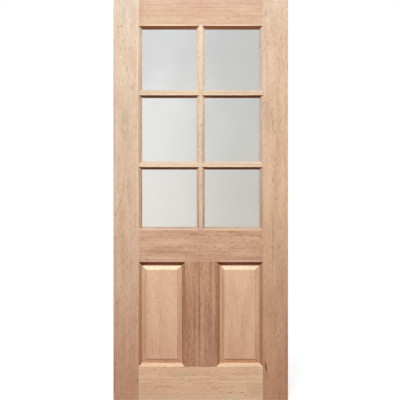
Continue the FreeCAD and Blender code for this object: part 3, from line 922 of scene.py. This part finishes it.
@dataclass(frozen=True)
class RaisedPanels:
    """The two panels, raised and fielded alike on both faces, with a flat margin round the bevels.

    Lengths are in metres. The laps are how far the grooves cover a panel at its sides and its foot.
    """

    left_panel: TimberFinish = TimberFinish(
        pale=paint(235, 207, 172),
        deep=paint(224, 193, 157),
        painted_shading_under=(1.28, 1.25, 1.22),
        worked_top=(1.01, 1.28, 1.35),
        painted_shading_side=(0.88, 0.83, 0.82),
        foot=paint(246, 220, 224),
        pith=(-0.3, 0.3, 8.0),
        rings=0.13,
        ribbon=0.08,
        flecks=0.30,
    )
    right_panel: TimberFinish = TimberFinish(
        pale=paint(232, 201, 171),
        deep=paint(220, 187, 155),
        painted_shading_under=(1.33, 1.22, 1.19),
        worked_top=(1.01, 1.22, 1.31),
        painted_shading_side=(0.88, 0.85, 0.82),
        foot=paint(247, 226, 214),
        pith=(-0.7, 0.34, 3.0),
        rings=0.13,
        ribbon=0.08,
        flecks=0.26,
        marks=(
            # Painted light on the lock-side bevel and painted shade on the hinge-side bevel.
            Mark(0.711, 0.445, 0.013, 0.32, strength=0.3, set_back=0.013, colour=BEVEL_PAINTED_LIGHT),
            Mark(0.544, 0.445, 0.012, 0.32, strength=0.65, set_back=0.013, colour=BEVEL_PAINTED_SHADE),
        ),
    )
    body: str = "root"
    slot: str = "panel_timber"
    side_lap: float = 0.010
    foot_lap: float = 0.012
    margin: float = 0.0035
    bevel_width: float = 0.0185
    bevel_rise: float = 0.0092
    field_step: float = 0.002
    arris: float = 0.0006
    arris_facets: int = 2

    def build(self, groups: TimberGroups) -> None:
        """Models one panel, copies it, and puts both in the place of the plain ones.

        Args:
            groups: The node groups that the timbers share.
        """
        finishes = {"left_panel": self.left_panel, "right_panel": self.right_panel}
        first, second = finishes
        left = self.model(first)
        right = self.copied(left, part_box(second)[0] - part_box(first)[0])
        for node, piece in zip(finishes, (left, right)):
            piece.name = "raised_" + node
            piece.data.name = piece.name
            piece.data.materials.append(finishes[node].build(node + "_board", groups, (node,)))
            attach(piece, self.body)
            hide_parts(node)
            log.info("%s: %d faces, in place of %s", piece.name, len(piece.data.polygons), node)

    def model(self, node: str) -> Object:
        """A panel shaped from a block as thick as its tongue.

        Args:
            node: The CAD panel whose place and size it has.

        Returns:
            The panel, with its place in its mesh.
        """
        low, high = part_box(node)
        tongue = high.y - self.field_step - self.bevel_rise
        size = (high.x - low.x, 2 * tongue, high.z - low.z)
        bpy.ops.object.select_all(action="DESELECT")
        bpy.ops.mesh.primitive_cube_add(size=1.0, location=(low + high) / 2, scale=size)
        panel = bpy.context.object
        bpy.ops.object.transform_apply(location=True, rotation=True, scale=True)
        bpy.ops.object.mode_set(mode="EDIT")
        for face in (-1.0, 1.0):
            self.raise_field(panel, face, tongue)
        self.select(
            panel, "EDGE", lambda edge: all(abs(abs(v.co.y) - high.y) < NEAR for v in edge.verts)
        )
        bpy.ops.mesh.bevel(offset=self.arris, segments=self.arris_facets, affect="EDGES")
        bpy.ops.object.mode_set(mode="OBJECT")
        return panel

    def raise_field(self, panel: Object, face: float, tongue: float) -> None:
        """Works the margin, the bevels and the raised field on one face.

        Args:
            panel: The panel, in edit mode.
            face: -1 for the front and 1 for the back.
            tongue: Half the thickness of the tongue.
        """
        self.select(panel, "FACE", lambda side: side.normal.y * face > FACING)
        bpy.ops.mesh.inset(thickness=self.side_lap + self.margin, depth=0.0)
        inner = [side for side in bmesh.from_edit_mesh(panel.data).faces if side.select]
        foot = min(v.co.z for side in inner for v in side.verts)
        self.select(
            panel,
            "EDGE",
            lambda edge: all(v.co.y * face > tongue - NEAR for v in edge.verts)
            and all(abs(v.co.z - foot) < NEAR for v in edge.verts),
        )
        bpy.ops.transform.translate(value=(0.0, 0.0, self.foot_lap - self.side_lap))
        margin_foot = foot + self.foot_lap - self.side_lap
        self.select(
            panel,
            "FACE",
            lambda side: side.normal.y * face > FACING
            and abs(min(v.co.z for v in side.verts) - margin_foot) < NEAR
            and self.is_rectangle(side),
        )
        bpy.ops.mesh.inset(thickness=self.bevel_width, depth=self.bevel_rise)
        step = {"value": (0.0, face * self.field_step, 0.0)}
        bpy.ops.mesh.extrude_region_move(TRANSFORM_OT_translate=step)

    def is_rectangle(self, side: bmesh.types.BMFace) -> bool:
        """Whether a face's corners lie on two heights, to a tenth of a millimetre."""
        return len({round(v.co.z, 4) for v in side.verts}) == 2

    def copied(self, panel: Object, shift: Vector) -> Object:
        """A second panel with its own mesh.

        Args:
            panel: The panel that is copied.
            shift: How far the copy is from it.

        Returns:
            The copy, with its place in its mesh.
        """
        bpy.ops.object.select_all(action="DESELECT")
        panel.select_set(True)
        bpy.context.view_layer.objects.active = panel
        bpy.ops.object.duplicate(linked=False)
        copy = bpy.context.object
        bpy.ops.transform.translate(value=shift)
        bpy.ops.object.transform_apply(location=True, rotation=True, scale=True)
        return copy

    def select(self, panel: Object, kind: str, wanted: Callable[..., bool]) -> None:
        """Selects the faces or the edges that are wanted, and nothing else.

        Args:
            panel: The panel, in edit mode.
            kind: FACE or EDGE.
            wanted: Whether a face or an edge is wanted.
        """
        bpy.ops.mesh.select_mode(type=kind)
        bpy.ops.mesh.select_all(action="DESELECT")
        mesh = bmesh.from_edit_mesh(panel.data)
        mesh.normal_update()
        parts = mesh.faces if kind == "FACE" else mesh.edges
        for part in [part for part in parts if wanted(part)]:
            part.select_set(True)
        bmesh.update_edit_mesh(panel.data)


@dataclass(frozen=True)
class Glazing:
    """The glazing bars, the panes and the beads that hold them from the back."""

    upright_bar: TimberFinish = TimberFinish(
        pale=paint(231, 209, 188),
        deep=paint(213, 187, 164),
        painted_shading_side=(1.00, 0.60, 0.56),
        painted_shading_side_high=(1.26, 1.37, 1.37),
        foot=BLACK,
        waist=paint(248, 250, 248),
        pith=(-0.43, 0.4, 9.0),
        rings=0.5,
        flecks=0.6,
    )
    upper_cross_bar: TimberFinish = TimberFinish(
        pale=paint(214, 194, 164),
        deep=paint(199, 175, 146),
        painted_shading_under=(0.88, 0.43, 0.29),
        worked_top=(0.86, 0.90, 1.05),
        grain=Grain.ACROSS,
        pith=(0.3, 0.4, 2.0),
        marks=(
            # Painted light on the shaded foot of the moulding below.
            Mark(0.432, 1.4988, 0.44, 0.0035, strength=0.8, set_back=0.0155, colour=MOULDING_FOOT_PAINTED_LIGHT),
            # Painted highlights along the lower arris.
            Mark(0.282, 1.5115, 0.23, 0.0045, strength=0.75, colour=ARRIS_PAINTED_HIGHLIGHT),
            Mark(0.582, 1.5115, 0.23, 0.0045, strength=0.85, colour=ARRIS_PAINTED_HIGHLIGHT),
        ),
    )
    lower_cross_bar: TimberFinish = TimberFinish(
        pale=paint(227, 205, 176),
        deep=paint(212, 187, 157),
        painted_shading_under=(1.06, 0.50, 0.36),
        worked_top=(0.82, 0.84, 0.94),
        grain=Grain.ACROSS,
        pith=(0.7, 0.4, 6.0),
        marks=(
            # Painted light on the shaded foot of the moulding below.
            Mark(0.432, 1.1434, 0.44, 0.0035, strength=0.8, set_back=0.0155, colour=MOULDING_FOOT_PAINTED_LIGHT),
            # Painted highlights along the lower arris.
            Mark(0.282, 1.1565, 0.23, 0.0045, strength=0.55, colour=ARRIS_PAINTED_HIGHLIGHT),
            Mark(0.582, 1.1565, 0.23, 0.0045, strength=0.65, colour=ARRIS_PAINTED_HIGHLIGHT),
        ),
    )
    upright_bead: TimberFinish = TimberFinish(
        pale=paint(236, 206, 176),
        deep=paint(216, 182, 152),
        pith=(-0.2, 0.5, 4.0),
    )
    cross_bead: TimberFinish = TimberFinish(
        pale=paint(236, 206, 176),
        deep=paint(216, 182, 152),
        grain=Grain.ACROSS,
        pith=(0.1, 0.5, 7.0),
    )
    glass: ObscureGlass = ObscureGlass()

    def build(self, groups: TimberGroups) -> None:
        """Gives the bars, beads and panes their finishes.

        Args:
            groups: The node groups that the timbers share.
        """
        timbers = {
            "upright_bar": ("upright_bar",),
            "upper_cross_bar": named(("upper",), COLUMNS, ("bar",)),
            "lower_cross_bar": named(("lower",), COLUMNS, ("bar",)),
            "upright_bead": named(ROWS, COLUMNS, ("bead",), ("left", "right")),
            "cross_bead": named(ROWS, COLUMNS, ("bead",), ("top", "bottom")),
        }
        for timber, names in timbers.items():
            dress(names, getattr(self, timber).build(timber + "_wood", groups, names))
        dress(named(ROWS, COLUMNS, ("glass",)), self.glass.build())


@dataclass(frozen=True)
class Studio:
    """A pale floor, a white backdrop, a light high in front, two behind the edges, and the camera.

    The ambient light runs from one colour to the other between low and high on the world's Z. The
    ray limit lies between a ray that has met no dull surface and one that has met its first.
    """

    camera_distance: float = 6.0
    picture_height_px: float = 400.0
    leaf_height_px: float = 400.25
    leaf_centre_px: tuple[float, float] = (200.75, 200.0)
    sensor: float = 36.0
    floor_drop: float = 0.001
    floor_half: float = 1.6
    floor_seen: Colour = paint(160, 160, 160)
    floor_unseen: Colour = paint(60, 60, 60)
    floor_glow: Colour = paint(180, 180, 180)
    floor_roughness: float = 0.9
    floor_specular: float = 0.1
    key_place: Point = (0.25, -4.2, 4.3)
    key_size: float = 1.0
    key_power: float = 380.0
    rear_places: tuple[Point, Point] = ((-3.0, 3.4, 3.2), (3.9, 3.4, 3.2))
    rear_size: float = 1.6
    rear_power: float = 250.0
    ambient: Colour = (0.08, 0.08, 0.08)
    ambient_below: Colour = (0.05, 0.022, 0.014)
    ambient_low: float = -0.1
    ambient_high: float = 0.5
    ray_limit: float = 0.5

    def build(self) -> None:
        """Sets up everything that isn't part of the door."""
        self.floor()
        self.world()
        self.light("key_light", self.key_place, self.key_size, self.key_power)
        for side, place in zip(COLUMNS, self.rear_places):
            self.light(f"rear_{side}_light", place, self.rear_size, self.rear_power)
        self.camera()
        bpy.context.scene.view_settings.view_transform = "Standard"

    def floor(self) -> None:
        """A plain pale floor."""
        place = (LEAF_CENTRE.x, LEAF_CENTRE.y, CAD_BOX[0].z - self.floor_drop)
        bpy.ops.object.select_all(action="DESELECT")
        bpy.ops.mesh.primitive_plane_add(size=2 * self.floor_half, location=place)
        floor = bpy.context.object
        floor.name = "floor"
        floor.data.materials.append(self.floor_material())

    def floor_material(self) -> Material:
        """White to the eye and in reflections, but dull in the light that it throws back.

        Returns:
            The material.
        """
        material, sheet, shader = new_material("pale_floor")
        seen = self.seen_directly(sheet)
        looks = {
            "Base Color": sheet.mix(seen, self.floor_unseen, self.floor_seen),
            "Emission Color": sheet.mix(seen, BLACK, self.floor_glow),
            "Emission Strength": 1.0,
            "Roughness": self.floor_roughness,
            "Specular IOR Level": self.floor_specular,
        }
        sheet.fill(shader, looks)
        return material

    def seen_directly(self, sheet: Sheet) -> Socket:
        """Tells whether a ray comes from the camera, a reflection or through glass.

        Args:
            sheet: The sheet of the material or the world.

        Returns:
            1 for such a ray, and 0 for one that lights a surface, through glass or not.
        """
        path = sheet.add("LightPath", {}).outputs
        seen = sheet.math("MAXIMUM", path["Is Camera Ray"], path["Is Glossy Ray"])
        seen = sheet.math("MAXIMUM", seen, path["Is Transmission Ray"])
        straight = sheet.math("LESS_THAN", path["Diffuse Depth"], self.ray_limit)
        return sheet.math("MULTIPLY", seen, straight)

    def world(self) -> None:
        """A white backdrop that lights the door only softly."""
        world = bpy.data.worlds.new("white_backdrop")
        world.use_nodes = True
        bpy.context.scene.world = world
        sheet = Sheet(world.node_tree)
        height = sheet.axis(sheet.add("TexCoord", {}).outputs["Generated"], "Z")
        rise = sheet.ramp(height, self.ambient_low, self.ambient_high)
        glow = sheet.mix(rise, self.ambient_below, self.ambient)
        backdrop = sheet.mix(self.seen_directly(sheet), glow, WHITE)
        sheet.fill(world.node_tree.nodes["Background"], {"Strength": 1.0, "Color": backdrop})

    def light(self, name: str, place: Point, size: float, power: float) -> None:
        """A square soft light aimed at the middle of the leaf.

        Args:
            name: The light's name.
            place: Where it hangs.
            size: The length of its side.
            power: Its power in watts.
        """
        data = bpy.data.lights.new(name, "AREA")
        data.size = size
        data.energy = power
        lamp = bpy.data.objects.new(name, data)
        bpy.context.scene.collection.objects.link(lamp)
        lamp.location = place
        lamp.visible_transmission = False
        lamp.rotation_euler = (LEAF_CENTRE - Vector(place)).to_track_quat("-Z", "Y").to_euler()

    def camera(self) -> None:
        """The camera, square on to the front face, at the height and distance of the photo's."""
        low, high = CAD_BOX
        metres_per_px = (high.z - low.z) / self.leaf_height_px
        view_height = metres_per_px * self.picture_height_px
        data = bpy.data.cameras.new("camera")
        data.type = "PERSP"
        data.sensor_width = self.sensor
        data.lens = self.sensor * self.camera_distance / view_height
        camera = bpy.data.objects.new("camera", data)
        bpy.context.scene.collection.objects.link(camera)
        middle = self.picture_height_px / 2
        across = LEAF_CENTRE.x - (self.leaf_centre_px[0] - middle) * metres_per_px
        height = LEAF_CENTRE.z + (self.leaf_centre_px[1] - middle) * metres_per_px
        camera.location = (across, low.y - self.camera_distance, height)
        camera.rotation_euler = (math.radians(90.0), 0.0, 0.0)
        bpy.context.scene.camera = camera


def main() -> None:
    """Dresses the leaf and sets up its studio."""
    logging.basicConfig(level=logging.INFO, format="%(message)s")
    groups = TimberGroups(TimberFigure().build(), TimberMark().build(), WorkedEdges().build())
    Joinery().build(groups)
    RaisedPanels().build(groups)
    Glazing().build(groups)
    Studio().build()


if __name__ == "__main__":
    main()
